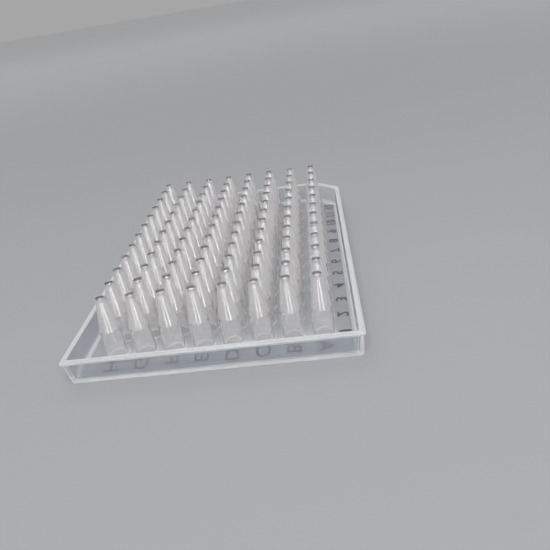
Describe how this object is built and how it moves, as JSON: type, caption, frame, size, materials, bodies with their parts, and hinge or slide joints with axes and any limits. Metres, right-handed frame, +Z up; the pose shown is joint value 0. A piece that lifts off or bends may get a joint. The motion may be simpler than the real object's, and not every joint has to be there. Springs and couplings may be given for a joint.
{
  "type": "96-well pcr plate",
  "caption": "Semi-skirted PCR plate of clear polypropylene, upside down: a shallow tray with a cut corner and a grid of conical 0.2 ml wells pointing up.",
  "frame": {"origin": "on the sealing face, under the middle of the well grid", "axes": "+Z up from the sealing face towards the closed tips, +Y along the numbered columns from 1 to 12, +X towards lettered row A"},
  "size_m": [0.0856, 0.1272, 0.0206],
  "materials": {
    "polypropylene": "natural polypropylene, milky and half clear, glossy on the wells and satin on the skirt"
  },
  "bodies": {
    "root": {"plate": "polypropylene"}
  },
  "joints": []
}
